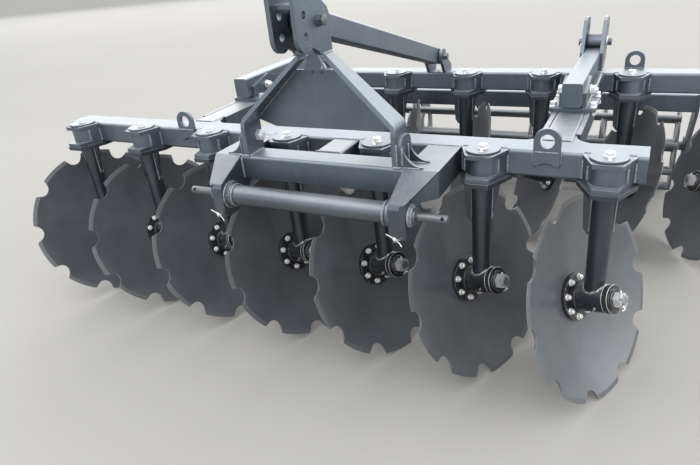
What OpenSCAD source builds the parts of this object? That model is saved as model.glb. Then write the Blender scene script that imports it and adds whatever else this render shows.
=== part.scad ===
// Mounted disc harrow with individually hung notched discs and a cage roller.
// Axes: X across the machine, Y from the hitch to the roller, Z up, ground at z = 0.
// All sizes are in millimetres.

/* [Discs] */
// Diameter over the tips of a notched disc
disc_d = 560; // [540:2:570]
// Plate thickness of a disc
disc_t = 6; // [5:0.5:8]
// Depth of the dish from rim plane to inner flat
disc_dish = 54; // [48:1:60]
// Diameter of the flat middle that the hub flange bolts to
disc_flat_d = 144; // [140:1:150]
// Number of round notches in a disc
notch_n = 10; // [8:1:12]
// Diameter of the round root of a notch
notch_d = 56; // [50:1:60]
// Depth of a notch in from the tips
notch_depth = 32; // [28:1:36]
// Width of the ground bevel on the hollow side of the tips
bevel_w = 14; // [8:1:18]
// Angle of attack of the discs to the line of travel
attack = 22; // [19:0.5:24]
// Lean of the disc axis out of the level
lean = 18; // [14:0.5:20]

/* [Hubs] */
// Diameter of the hub flange
flange_d = 132; // [126:1:138]
// Thickness of the hub flange
flange_t = 12; // [10:1:14]
// Diameter of the seal boss on the flange
seal_d = 77; // [72:1:80]
// Length of the seal boss
seal_t = 10; // [8:1:12]
// Outside diameter of the bearing barrel
barrel_d = 74; // [70:1:80]
// Length of the bearing barrel
barrel_l = 72; // [68:1:76]
// Diameter of the turning spindle
spindle_d = 40; // [36:1:44]
// Thread diameter of the spindle end
thread_d = 24; // [20:1:30]
// Running gap between spindle and barrel bore
bearing_gap = 0.05; // [0.03:0.01:0.1]
// End gap between turning hub parts and barrel
end_gap = 1; // [0.6:0.1:2]
// Diameter of the outer cap ring on the spindle
cap_ring_d = 77; // [74:1:82]
// Thickness of the outer cap ring
cap_ring_t = 16; // [12:1:18]
// Width across corners of the castle nut
castle_d = 44; // [42:1:48]
// Height of the castle nut
castle_h = 20; // [18:1:24]

/* [Rows] */
// Distance between neighbouring discs of a row
pitch = 300; // [296:1:310]
// Discs in each row
row_n = 7; // [6:1:7]
// Distance between the two rows
row_gap = 873; // [860:1:890]

/* [Frame] */
// Height of the beam tops above the ground
beam_top = 660; // [655:1:670]
// Height of all beams
beam_h = 70; // [66:1:74]
// Depth of the two cross beams front to back
beam_d = 90; // [86:1:94]
// Width of the hitch beam and of the long members
tube_w = 80; // [76:1:84]
// Corner radius of the beams
beam_r = 8; // [4:1:10]
// Beam length past the last leg mount
beam_over = 84; // [80:1:100]
// Sideways place of the long members and the roller from the middle of the leg rows
frame_x = 25; // [20:1:30]
// Radius of the arc of a corner gusset
gusset_r = 56; // [44:1:60]

/* [Leg mounts] */
// Outside diameter of the upright housing tube
housing_d = 84; // [80:1:88]
// Diameter of the leg shank inside the housing
shank_d = 66; // [60:1:68]
// Distance of the leg pivot ahead of the beam face
pivot_out = 20; // [16:1:24]
// Diameter of the round cap over the housing
cap_d = 88; // [86:1:92]
// Thickness of the round cap
cap_t = 6; // [5:1:8]
// Thickness of the plates above and below the housing
plate_t = 12; // [10:1:14]
// Leg tube diameter at the flange
leg_top_d = 58; // [54:1:62]
// Leg tube diameter at the barrel
leg_low_d = 50; // [46:1:54]

/* [Hitch] */
// Sideways place of the hitch from the middle of the machine
hitch_x = 50; // [45:1:60]
// Distance between the two lower link balls
link_span = 683; // [678:1:688]
// Diameter of the lower link pins
link_pin_d = 22; // [21.5:0.1:22.5]
// Height of the lower link pins
link_z = 571; // [566:1:576]
// Distance of the lower link pins ahead of the front beam
link_y = 263; // [258:1:268]
// Diameter of the cross shaft tube
shaft_d = 56; // [50:1:62]
// Half width between the inner faces of the hitch brackets
bracket_in = 247; // [245:1:250]
// Half width over the hitch brackets at the beam
bracket_out = 337; // [332:1:338]
// Half width over the hitch brackets at the nose
nose_out = 288; // [280:1:292]
// Height of the middle upper link hole above the lower link pins
mast_h = 460; // [455:1:465]
// Distance between the rows of upper link holes
mast_step = 48; // [46:1:50]
// Bore of the upper link holes
mast_bore = 19.4; // [19.2:0.1:19.8]
// Gap between the two upper link plates
mast_gap = 54; // [52:1:58]
// Thickness of the upper link plates
mast_t = 12; // [10:1:14]
// Half width over the mast legs at their feet
foot_half = 230; // [226:1:234]
// Thickness of the mast leg bars
foot_t = 12; // [10:1:14]

/* [Roller] */
// Diameter of the cage roller
roller_d = 420; // [410:2:424]
// Distance of the roller middle behind the front beam
roller_y = 1450; // [1440:1:1470]
// Half length of the roller
roller_half = 925; // [915:1:930]
// Number of roller bars
bar_n = 10; // [8:1:12]
// Diameter of a roller bar
bar_d = 28; // [25:1:32]
// Number of support plates along the roller
support_n = 7; // [5:1:8]
// Height of the swing pins above the beam tops
swing_up = 106; // [102:1:110]
// Distance of the swing pins behind the front beam
swing_y = 905; // [900:1:910]
// Width of the roller arm tubes
arm_w = 56; // [50:1:60]

/* [Hidden] */
$fn = 64;
steel = [0.16, 0.17, 0.18];
paint = [0.2, 0.22, 0.24];
zinc = [0.7, 0.7, 0.72];
// outer box along the machine
nose_y = link_y + 41;
y_back = roller_y + roller_d / 2;
y_mid = (y_back - nose_y) / 2;
beam_bot = beam_top - beam_h;
beam_mid = beam_top - beam_h / 2;
// sphere radius of the dish so that rim and inner flat both lie on it
rad = disc_d / 2;
flat_r = disc_flat_d / 2;
ball_r = sqrt(rad * rad + pow((rad * rad - flat_r * flat_r - disc_dish * disc_dish)
    / (2 * disc_dish), 2));
ball_z = sqrt(ball_r * ball_r - rad * rad);
rim_low = ball_z - sqrt(pow(ball_r + disc_t, 2) - rad * rad);
// the bevel starts on the hollow face and leaves a thin edge at the tips
bevel_z = ball_z - sqrt(ball_r * ball_r - pow(rad - bevel_w, 2));
edge_t = 1.5;
bevel_rise = (rim_low + edge_t - bevel_z) / bevel_w;
// the sides of a notch open by this angle
notch_open = 30;
// the leg axis meets the hub axis in the rim plane
hub_z = rad * cos(lean) - rim_low * sin(lean);
// places along the hub axis, from the back of the disc outwards
flange_z = -disc_dish;
barrel_z = flange_z + flange_t + seal_t + end_gap;
ring_z = barrel_z + barrel_l + end_gap;
washer_d = 56;
washer_t = 6;
nut_z = ring_z + cap_ring_t + washer_t;
slot_w = 7;
slot_depth = 7;
// the two rows are half a pitch to either side of the middle
row_shift = pitch / 2;
// half distance between the long members, which pass between two legs of each row
member_half = 2 * pitch - 10;
// beam rows
front_x0 = -row_shift - pitch * (row_n - 1) / 2;
rear_x0 = row_shift - pitch * (row_n - 1) / 2;
row_half = pitch * (row_n - 1) / 2 + beam_over;
hitch_beam_y = -154;
gusset_t = 12;
strip_y = 150;
// outlines of the plates of a leg mount, half widths and front edges
top_front = 33;
top_back = 60;
top_ahead = 48;
low_front = 30;
low_back = 52;
low_ahead = 60;
leg_back = 70;
leg_ahead = 64;
leg_under = 36;
cheek_t = 9;
// plate fins on both sides of a leg tube
fin_t = 10;
fin_out = 50;
fin_long = 104;
fin_taper = 48;
fin_short = 113;
// hitch bracket sheet
sheet_t = 10;
fold_y = 192;
nose_top = 612;
nose_low = 514;
side_low_y = 226;
boss_d = 44;
ring_d = 70;
ring_t = 12;
// mast
hole_y = 232;
hole_z = link_z + mast_h;
lobe_r = 36;
plate_back = 112;
leg_bar_w = 78;
bend_z = 760;
// rise of the slanted part of a leg bar for one millimetre inwards
leg_slope = 0.9;
leg_tilt = atan(1 / leg_slope);
bend_r = 30;
bend_x = foot_half - bend_r;
bend_arc_z = bend_z - bend_r * tan(leg_tilt / 2);
foot_in = foot_half - foot_t;
inner_fall = foot_t * norm([1, leg_slope]);
plate_foot_z = hole_z - 100;
shield_y = 112;
shield_t = 5;
shield_low = 727;
shield_step = 56;
shield_below = 47;
low_cross_y = 184;
low_cross_w = 60;
high_cross_y = 250;
high_cross_w = 54;
high_cross_up = 16;
cross_t = 10;
tongue_y = 138;
tongue_h = 48;
tongue_t = 8;
tongue_foot = 32;
tongue_head = 6;
tongue_hole_d = 8;
foot_plate_h = 76;
foot_arc_r = 54;
// brace from the bolt in the upper link plates back to its clevis
bolt_d = 25;
bolt_fit = 0.1;
brace_w = 46;
brace_h = 62;
brace_y0 = -166;
brace_z0 = hole_z - 20;
brace_y1 = 855;
brace_x1 = 20;
brace_up = 68;
brace_z1 = beam_top + brace_up;
brace_run = norm([brace_y1 - brace_y0, brace_x1 - hitch_x]);
brace_len = norm([brace_run, brace_z0 - brace_z1]);
brace_fall = atan2(brace_z0 - brace_z1, brace_run);
brace_turn = atan2(hitch_x - brace_x1, brace_y1 - brace_y0);
clevis_gap = 54;
clevis_t = 12;
centre_tube_x = hitch_x - 8;
// lifting eyes
eye_r = 33;
eye_hole_r = 18;
eye_t = 10;
eye_up = 29;
eye_low = 36;
front_eye_half = 2 * pitch - 19;
rear_eye_half = 2.5 * pitch - 23;
// roller arms and roller frame
arm_h = 70;
arm_y0 = 330;
arm_y1 = 872;
flange_y0 = 352;
flange_y1 = 526;
flange_half = 66;
arm_lift = 8;
pad_w = 40;
pad_l = 150;
arm_z = beam_top + plate_t + arm_lift + arm_h / 2;
ear_t = 10;
sector_t = 12;
sector_gap = 52;
sector_hole_out = 22;
sector_hole_up = 52;
sector_hole_d = 20;
swing_w = sector_gap - 4;
swing_pin_d = 25;
swing_z = beam_top + swing_up;
carrier_y = 1175;
carrier_z = 485;
carrier_s = 70;
cheek_gap = 34;
cheek_w = 12;
cheek_x = roller_half + cheek_gap + cheek_w / 2;
bearing_d = 90;
bearing_l = 40;
axle_d = 40;
axle_fit = 0.1;
roller_z = roller_d / 2;
support_t = 8;
hole_r = 46;
// turn of the notches of each disc, front row then rear row
front_turn = [10, 5, 24, 27.5, 8.7, 18.3, 15];
rear_turn = [14, 2, 28, 9, 33, 22, 5];

// puts the middle of the machine over the origin
module place() {
  translate([0, -y_mid, 0]) children();
}

// draws the child and its mirror image at the other side of x = 0
module both_sides() {
  children();
  mirror([1, 0, 0]) children();
}

module round_rect(w, h, r) {
  square([w - 2 * r, h], center = true);
  square([w, h - 2 * r], center = true);
  for (sx = [-1, 1], sy = [-1, 1])
    translate([sx * (w / 2 - r), sy * (h / 2 - r)]) circle(r);
}

// tube along X from x0 to x1, middle at y, z
module bar_x(x0, x1, y, z, w, h, r) {
  translate([x0, y, z]) rotate([90, 0, 90])
    linear_extrude(x1 - x0) round_rect(w, h, r);
}

// tube along Y from y0 to y1, middle at x, z
module bar_y(y0, y1, x, z, w, h, r) {
  translate([x, y1, z]) rotate([90, 0, 0])
    linear_extrude(y1 - y0) round_rect(w, h, r);
}

// plate with an outline in y and z, from x on in +X
module side_plate(x, t) {
  translate([x, 0, 0]) rotate([90, 0, 90]) linear_extrude(t) children();
}

// round pin or bore along X, middle at x, y, z
module across(x, y, z, d, l) {
  translate([x, y, z]) rotate([0, 90, 0]) cylinder(d = d, h = l, center = true);
}

// triangle with a hollow arc between two edges that meet at a right angle
module arc_corner(r) {
  difference() {
    square(r);
    translate([r, r]) circle(r - 4);
  }
}

// turns +Z into the hub axis of a row
module hub_axis(side) {
  rotate([0, 0, side > 0 ? -attack : 180 + attack])
    rotate([0, 90 - lean, 0])
      children();
}

// local frame of a disc: origin in the rim plane, +Z out of the hollow side
module at_disc(side, i) {
  x = (side > 0 ? front_x0 : rear_x0) + pitch * i;
  y = (side > 0 ? 0 : row_gap) - pivot_out;
  translate([x, y, hub_z])
    hub_axis(side)
      children();
}

// outline that a notch cuts: round root, sides that open towards the rim
module notch_outline() {
  flank = notch_d / 2 - 0.2;
  reach = 50;
  wide = flank / cos(notch_open) + reach * tan(notch_open);
  circle(d = notch_d);
  polygon([[-flank * sin(notch_open), flank * cos(notch_open)], [reach, wide], [reach, -wide],
    [-flank * sin(notch_open), -flank * cos(notch_open)]]);
}

module disc_blade(turn) {
  rotate([0, 0, turn])
    difference() {
      rotate_extrude($fn = 96) {
        difference() {
          intersection() {
            translate([0, ball_z]) difference() {
              circle(ball_r + disc_t, $fn = 256);
              circle(ball_r, $fn = 256);
            }
            translate([flat_r - 1, -ball_r]) square([rad - flat_r + 1, ball_r]);
          }
          polygon([[rad - bevel_w, bevel_z], [rad + 10, bevel_z + (bevel_w + 10) * bevel_rise],
            [rad + 10, 30], [rad - bevel_w, 30]]);
        }
        translate([0, -disc_dish - disc_t]) square([flat_r, disc_t]);
      }
      for (k = [0:notch_n - 1])
        rotate([0, 0, k * 360 / notch_n])
          translate([rad + notch_d / 2 - notch_depth, 0, -disc_dish])
            linear_extrude(2 * disc_dish) notch_outline();
    }
}

module hub_turning() {
  translate([0, 0, flange_z]) cylinder(d = flange_d, h = flange_t);
  translate([0, 0, flange_z]) cylinder(d = seal_d, h = flange_t + seal_t);
  translate([0, 0, flange_z]) cylinder(d = spindle_d, h = ring_z - flange_z);
  translate([0, 0, ring_z]) cylinder(d = thread_d, h = nut_z + castle_h + 3 - ring_z);
  translate([0, 0, ring_z]) cylinder(d = cap_ring_d, h = cap_ring_t);
  translate([0, 0, ring_z + cap_ring_t]) cylinder(d = washer_d, h = washer_t);
  difference() {
    translate([0, 0, nut_z]) cylinder(d = castle_d, h = castle_h, $fn = 6);
    for (k = [0:2])
      rotate([0, 0, k * 60])
        translate([-castle_d / 2, -slot_w / 2, nut_z + castle_h - slot_depth])
          cube([castle_d, slot_w, slot_depth + 1]);
  }
}

// children at the pivots of the first n legs of a row
module row_of(side, n) {
  for (i = [0:n - 1])
    translate([(side > 0 ? front_x0 : rear_x0) + pitch * i,
      (side > 0 ? 0 : row_gap) - pivot_out, 0]) children();
}

// top plate of a leg mount, let into the rounded edge of the beam
module top_outline() {
  polygon([[-top_front, -top_ahead], [top_front, -top_ahead], [top_back, pivot_out],
    [top_back, pivot_out + beam_r], [-top_back, pivot_out + beam_r], [-top_back, pivot_out]]);
}

module beam_with_seats(side) {
  x0 = side > 0 ? -row_shift : row_shift;
  y0 = side > 0 ? 0 : row_gap;
  difference() {
    bar_x(x0 - row_half, x0 + row_half, y0 + beam_d / 2, beam_mid, beam_d, beam_h, beam_r);
    row_of(side, row_n) {
      translate([0, 0, beam_bot - 1]) cylinder(d = housing_d + 0.6, h = beam_h + 2);
      translate([0, 0, beam_top - plate_t]) linear_extrude(plate_t + 1) top_outline();
    }
  }
}

// welded holder of one leg: round cap, top plate, housing tube, cheeks and flange
module leg_mount() {
  translate([0, 0, beam_top]) cylinder(d = cap_d, h = cap_t);
  difference() {
    union() {
      translate([0, 0, beam_bot]) cylinder(d = housing_d, h = beam_h);
      translate([0, 0, beam_top - plate_t]) linear_extrude(plate_t) top_outline();
      translate([0, 0, beam_bot]) linear_extrude(beam_h) both_sides()
        polygon([[34, -22], [34 + cheek_t, -15], [top_back - 2, pivot_out],
          [top_back - 2 - cheek_t, pivot_out]]);
      translate([0, 0, beam_bot]) linear_extrude(plate_t)
        polygon([[-low_front, -low_ahead], [low_front, -low_ahead], [low_back, pivot_out],
          [-low_back, pivot_out]]);
    }
    translate([0, 0, beam_bot - 1]) cylinder(d = shank_d + 0.1, h = beam_h + 1);
  }
}

module leg(side) {
  difference() {
    union() {
      translate([0, 0, beam_bot - plate_t]) linear_extrude(plate_t)
        polygon([[-low_front, -leg_ahead], [low_front, -leg_ahead], [leg_back, pivot_out],
          [leg_back, pivot_out + leg_under], [-leg_back, pivot_out + leg_under],
          [-leg_back, pivot_out]]);
      translate([0, 0, beam_bot - plate_t]) cylinder(d = shank_d, h = beam_h + plate_t - 1);
      translate([0, 0, hub_z])
        cylinder(d1 = leg_low_d, d2 = leg_top_d, h = beam_bot - plate_t - hub_z);
      translate([0, fin_t / 2, beam_bot - plate_t]) rotate([90, 0, 0]) linear_extrude(fin_t)
        polygon([[-fin_out, 0], [-fin_out + 7, -fin_long], [-fin_out + 18, -fin_long - 17],
          [0, -fin_long - 17], [leg_low_d / 2 + 1, -fin_short], [fin_taper, 0]]);
      translate([0, 0, hub_z]) hub_axis(side)
        translate([0, 0, barrel_z]) cylinder(d = barrel_d, h = barrel_l);
    }
    translate([0, 0, hub_z]) hub_axis(side)
      translate([0, 0, barrel_z - 1])
        cylinder(d = spindle_d + 2 * bearing_gap, h = barrel_l + 2);
  }
}

module cross_beams() {
  color(paint) place() {
    beam_with_seats(1);
    beam_with_seats(-1);
    bar_x(hitch_x - bracket_in, hitch_x + bracket_in, hitch_beam_y, beam_mid,
      tube_w, beam_h, beam_r);
  }
}

// long member with side strips and curved gussets where it meets the front beam
module long_member() {
  bar_y(beam_d, row_gap, 0, beam_mid, tube_w, beam_h, beam_r);
  both_sides() {
    translate([tube_w / 2 - 1, strip_y, beam_bot + 4])
      cube([gusset_t + 1, flange_y1 - 4 - strip_y, beam_h - 4]);
    translate([tube_w / 2 - 1, beam_d, beam_top - 4 - gusset_t]) linear_extrude(gusset_t)
      arc_corner(gusset_r);
  }
}

module lengthwise_tubes() {
  color(paint) place() {
    for (s = [-1, 1]) translate([frame_x + s * member_half, 0, 0]) long_member();
    bar_y(hitch_beam_y + tube_w / 2, 0, centre_tube_x, beam_mid, tube_w, beam_h, beam_r);
  }
}

// outline of the top and nose of a hitch bracket, seen from the side
module bracket_outline() {
  polygon([[0, beam_bot], [0, beam_top], [-fold_y, beam_top], [-nose_y + 6, nose_top],
    [-nose_y, nose_top - 12], [-nose_y, nose_low + 12], [-nose_y + 12, nose_low],
    [-240, nose_low], [-150, beam_bot]]);
}

// foot plate of the mast leg with two hollow gussets outside it
module mast_foot() {
  y0 = hitch_beam_y - tube_w / 2 + 4;
  side_plate(foot_half, foot_t) union() {
    translate([y0, beam_top]) square([tube_w - 8, foot_plate_h - 30]);
    translate([y0 + 30, beam_top]) square([tube_w - 68, foot_plate_h]);
    for (y = [y0 + 30, y0 + tube_w - 38])
      translate([y, beam_top + foot_plate_h - 30]) circle(30);
  }
  arc_x = foot_half + foot_t - 1;
  for (y = [y0 + 12, y0 + tube_w - 20]) translate([0, y, beam_top]) {
    translate([arc_x, 0, 0]) rotate([90, 0, 0]) linear_extrude(8) arc_corner(foot_arc_r);
    // the weld seam sinks into the bracket only, clear of the hitch beam
    translate([bracket_in, -8, -1]) cube([arc_x + foot_arc_r - bracket_in, 8, 2]);
  }
}

module bracket_side() {
  difference() {
    union() {
      side_plate(bracket_in, sheet_t) bracket_outline();
      // outer cheek, folded outwards behind the nose
      linear_extrude(beam_top - sheet_t)
        polygon([[nose_out - sheet_t, -nose_y], [nose_out, -nose_y], [nose_out, -242],
          [bracket_out, -fold_y + 4], [bracket_out, 0], [bracket_out - sheet_t, 0],
          [bracket_out - sheet_t, -fold_y + 8], [nose_out - sheet_t, -238]]);
      // top plate, slope and nose plate
      side_plate(bracket_in, bracket_out - bracket_in)
        polygon([[0, beam_top - sheet_t], [0, beam_top], [-fold_y, beam_top],
          [-nose_y + 6, nose_top], [-nose_y, nose_top - 12], [-nose_y, nose_low + 8],
          [-nose_y + sheet_t, nose_low + 4], [-nose_y + sheet_t, nose_top - 16],
          [-fold_y + 4, beam_top - sheet_t]]);
    }
    // the sheet narrows from the fold to the nose
    linear_extrude(beam_top + 10)
      polygon([[nose_out, -nose_y - 90], [nose_out, -242], [bracket_out, -fold_y + 4],
        [bracket_out + 40, -fold_y + 4], [bracket_out + 40, -nose_y - 90]]);
    // chamfered corner of the nose
    translate([0, 0, nose_low - 20]) linear_extrude(nose_top - nose_low + 40)
      polygon([[nose_out - 9, -nose_y - 1], [nose_out + 1, -nose_y - 1], [nose_out + 1, -nose_y + 9]]);
    // lower edge of the outer cheek
    side_plate(bracket_in + sheet_t, 200)
      polygon([[10, beam_bot], [-side_low_y, beam_bot], [-262, nose_low],
        [-nose_y + 12, nose_low], [-nose_y, nose_low + 12], [-nose_y - 20, nose_low + 12],
        [-nose_y - 20, 0], [10, 0]]);
    side_plate(bracket_in + sheet_t, 200)
      polygon([[-nose_y - 10, nose_top], [-nose_y + 6, nose_top], [-fold_y, beam_top],
        [10, beam_top], [10, beam_top + 150], [-nose_y - 10, beam_top + 150]]);
    across(bracket_in + 25, -link_y, link_z, boss_d + bolt_fit, 90);
  }
  mast_foot();
}

module hitch_brackets() {
  color(paint) place() translate([hitch_x, 0, 0]) both_sides() bracket_side();
}

// cross shaft with a ring against each bracket
module link_shaft() {
  color(paint) place() translate([hitch_x, 0, 0]) {
    across(0, -link_y, link_z, shaft_d, 2 * bracket_in);
    both_sides() {
      across(bracket_in - ring_t / 2, -link_y, link_z, ring_d, ring_t);
      across(bracket_in - ring_t - 7, -link_y, link_z, shaft_d + 6, 6);
    }
  }
}

// stepped pin of one side: collar through the bracket, then the link pin
module link_pin() {
  collar_end = nose_out + 18;
  pin_end = link_span / 2 + 42;
  difference() {
    union() {
      across((bracket_in + collar_end) / 2, 0, 0, boss_d, collar_end - bracket_in);
      across((bracket_in + pin_end) / 2, 0, 0, link_pin_d, pin_end - bracket_in);
    }
    translate([pin_end - 12, 0, 0]) rotate([60, 0, 0]) cylinder(d = 9, h = 60, center = true);
  }
}

module link_pins() {
  color(zinc) place() translate([hitch_x, -link_y, link_z]) both_sides() link_pin();
}

// bar bent in an arc from its upright foot to the slanted part
module mast_leg_outline() {
  head_x = mast_gap / 2 + mast_t;
  head_z = bend_z + leg_slope * (foot_half - head_x);
  translate([foot_in, beam_top]) square([foot_t, bend_arc_z - beam_top]);
  translate([bend_x, bend_arc_z]) {
    intersection() {
      difference() {
        circle(bend_r);
        circle(bend_r - foot_t);
      }
      polygon([[0, 0], [2 * bend_r, 0], [2 * bend_r, 2 * bend_r * tan(leg_tilt)]]);
    }
    polygon([[bend_r * cos(leg_tilt), bend_r * sin(leg_tilt)],
      [(bend_r - foot_t) * cos(leg_tilt), (bend_r - foot_t) * sin(leg_tilt)],
      [head_x - bend_x, head_z - inner_fall - bend_arc_z], [head_x - bend_x, head_z - bend_arc_z]]);
  }
}

module mast_leg() {
  rear = -hitch_beam_y - leg_bar_w / 2;
  front = -hitch_beam_y + leg_bar_w / 2;
  difference() {
    rotate([90, 0, 0]) translate([0, 0, rear]) linear_extrude(leg_bar_w) mast_leg_outline();
    // the front edge runs back towards the head
    side_plate(0, foot_half + 1)
      polygon([[-front - 1, bend_arc_z - 5], [-front, bend_arc_z - 5], [-front + 36, 925],
        [-front + 36, 960], [-front - 1, 960]]);
  }
}

module mast_legs() {
  color(paint) place() translate([hitch_x, 0, 0]) both_sides() mast_leg();
}

// outline of an upper link plate in y and z
module mast_outline() {
  translate([-hole_y - lobe_r, hole_z - mast_step]) square([2 * lobe_r, 2 * mast_step]);
  for (k = [-1, 1]) translate([-hole_y, hole_z + k * mast_step]) circle(lobe_r);
  polygon([[-hole_y, hole_z - mast_step - 27], [-hole_y + 25, hole_z - mast_step - 28],
    [-180, plate_foot_z + 11], [-168, plate_foot_z], [-plate_back, plate_foot_z],
    [-plate_back, hole_z - 8], [-plate_back - 8, hole_z + 6], [-hole_y + 20, hole_z + mast_step + 30],
    [-hole_y, hole_z + mast_step]]);
}

module mast_plate() {
  difference() {
    side_plate(mast_gap / 2, mast_t) mast_outline();
    for (k = [-1:1])
      across(mast_gap / 2 + mast_t / 2, -hole_y, hole_z + k * mast_step, mast_bore, mast_t + 2);
    across(mast_gap / 2 + mast_t / 2, brace_y0, brace_z0, bolt_d + bolt_fit, mast_t + 2);
  }
}

module mast_plates() {
  color(paint) place() translate([hitch_x, 0, 0]) {
    both_sides() mast_plate();
    // cross pieces between the plates and the tongue that hangs from the lower one
    translate([-mast_gap / 2, -low_cross_y, plate_foot_z + 4])
      cube([mast_gap, low_cross_w, cross_t]);
    translate([-mast_gap / 2, -high_cross_y, hole_z + high_cross_up])
      cube([mast_gap, high_cross_w, cross_t]);
    translate([0, -tongue_y, plate_foot_z + 5 - tongue_h]) rotate([90, 0, 0])
      linear_extrude(tongue_t) difference() {
        polygon([[-tongue_foot, 0], [tongue_foot, 0], [tongue_head, tongue_h],
          [-tongue_head, tongue_h]]);
        translate([tongue_foot - 12, tongue_hole_d]) circle(d = tongue_hole_d);
      }
  }
}

// bent sheet behind the mast legs
module mast_shield() {
  shield_top = plate_foot_z - shield_below;
  // half widths on the inner faces of the leg bars
  top_half = foot_half - (shield_top + inner_fall - bend_z) / leg_slope;
  arc_half = bend_x + (bend_r - foot_t) * cos(leg_tilt);
  arc_z = bend_arc_z + (bend_r - foot_t) * sin(leg_tilt);
  color(paint) place() translate([hitch_x, -shield_y, 0]) rotate([90, 0, 0]) linear_extrude(shield_t)
    polygon([[shield_step - foot_in, shield_low], [foot_in - shield_step, shield_low],
      [foot_in, bend_arc_z - 1],
      [foot_in, bend_arc_z], [arc_half, arc_z], [top_half, shield_top], [-top_half, shield_top],
      [-arc_half, arc_z], [-foot_in, bend_arc_z], [-foot_in, bend_arc_z - 1]]);
}

module rear_brace() {
  // tube from the bolt in the upper link plates back to the clevis
  color(paint) place() {
    translate([hitch_x, brace_y0, brace_z0]) rotate([-brace_fall, 0, brace_turn])
      bar_y(0, brace_len, 0, 0, brace_w, brace_h, 6);
    across(hitch_x, brace_y0, brace_z0, brace_h, brace_w);
    across(hitch_x, brace_y0, brace_z0, bolt_d, mast_gap + 2 * mast_t + 16);
    across(brace_x1, brace_y1, brace_z1, brace_h, brace_w);
    across(brace_x1, brace_y1, brace_z1, bolt_d, clevis_gap + 2 * clevis_t + 16);
  }
}

module brace_clevis() {
  color(paint) place() translate([brace_x1, brace_y1, beam_top]) both_sides()
    difference() {
      side_plate(clevis_gap / 2, clevis_t) union() {
        polygon([[row_gap - brace_y1, 0], [row_gap + beam_d - 10 - brace_y1, 0],
          [row_gap + beam_d - 10 - brace_y1, 16], [30, brace_up], [-30, brace_up]]);
        translate([0, brace_up]) circle(30);
      }
      across(clevis_gap / 2 + clevis_t / 2, 0, brace_up, bolt_d + bolt_fit, clevis_t + 2);
    }
}

module leg_mounts() {
  color(paint) place() {
    difference() {
      row_of(1, row_n) leg_mount();
      // the mount next to the left hitch bracket is cut short there
      translate([hitch_x - bracket_in - 40, -100, beam_bot - 1]) cube([40, 100, beam_h + 2]);
    }
    row_of(-1, row_n) leg_mount();
  }
}

module legs() {
  color(paint) place() {
    row_of(1, row_n) leg(1);
    row_of(-1, row_n) leg(-1);
  }
}

// eye plate with a hollow lower edge between two shoulders
module lifting_eye() {
  rotate([90, 0, 0]) linear_extrude(eye_t) difference() {
    union() {
      translate([-eye_r, -eye_low]) square([2 * eye_r, eye_low + eye_up]);
      translate([0, eye_up]) circle(eye_r);
    }
    translate([0, eye_up]) circle(eye_hole_r);
    translate([0, -eye_low - 22]) circle(eye_r - 3);
  }
}

module lifting_eyes() {
  color(paint) place() {
    for (s = [-1, 1])
      translate([frame_x + s * front_eye_half, 0, beam_top]) lifting_eye();
    for (s = [-1, 1])
      translate([frame_x + s * rear_eye_half, row_gap + beam_d + eye_t, beam_top]) lifting_eye();
  }
}

// flange, arm tube, ears beside it and the two sector plates at its end
module roller_arm() {
  translate([0, (flange_y0 + flange_y1) / 2, beam_top]) linear_extrude(plate_t)
    round_rect(2 * flange_half, flange_y1 - flange_y0, 14);
  translate([-pad_w / 2, arm_y0 + 30, beam_top + plate_t - 1])
    cube([pad_w, pad_l, arm_lift + 6]);
  bar_y(arm_y0, arm_y1, 0, arm_z, arm_w, arm_h, 6);
  both_sides() {
    side_plate(arm_w / 2 - 1, ear_t + 1)
      polygon([[flange_y0 + 6, beam_top + plate_t - 1], [flange_y0 + 6, beam_top + 56],
        [flange_y0 + 110, beam_top + 84], [flange_y1 - 10, beam_top + 70],
        [flange_y1 - 10, beam_top + plate_t - 1]]);
    difference() {
      side_plate(sector_gap / 2, sector_t)
        polygon([[800, beam_top + 24], [800, beam_top + 84], [846, beam_top + 188],
          [870, beam_top + 196], [938, beam_top + 190], [950, beam_top + 176],
          [950, beam_top + 76], [930, beam_top + 40], [880, beam_top + 24]]);
      across(sector_gap / 2 + sector_t / 2, swing_y, swing_z, swing_pin_d + bolt_fit, sector_t + 2);
      for (k = [-1, 1])
        across(sector_gap / 2 + sector_t / 2, swing_y + k * sector_hole_out,
          swing_z + sector_hole_up, sector_hole_d, sector_t + 2);
    }
  }
}

module roller_arms() {
  color(paint) place()
    for (s = [-1, 1]) translate([frame_x + s * member_half, 0, 0]) roller_arm();
}

module swing_arms() {
  color(paint) place()
    for (s = [-1, 1]) translate([frame_x + s * member_half, 0, 0]) {
      side_plate(-swing_w / 2, swing_w)
        polygon([[swing_y - 10, swing_z + 26], [swing_y + 30, swing_z + 22],
          [carrier_y + 30, carrier_z + carrier_s / 2], [carrier_y - 30, carrier_z + carrier_s / 2],
          [swing_y + 95, swing_z - 76], [swing_y - 10, swing_z - 26]]);
      across(0, swing_y, swing_z, 56, swing_w);
      across(0, swing_y, swing_z, swing_pin_d, sector_gap + 2 * sector_t + 34);
    }
}

module roller_beam() {
  half = cheek_x - cheek_w / 2;
  color(paint) place()
    bar_x(frame_x - half, frame_x + half, carrier_y, carrier_z, carrier_s, carrier_s, 6);
}

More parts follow.
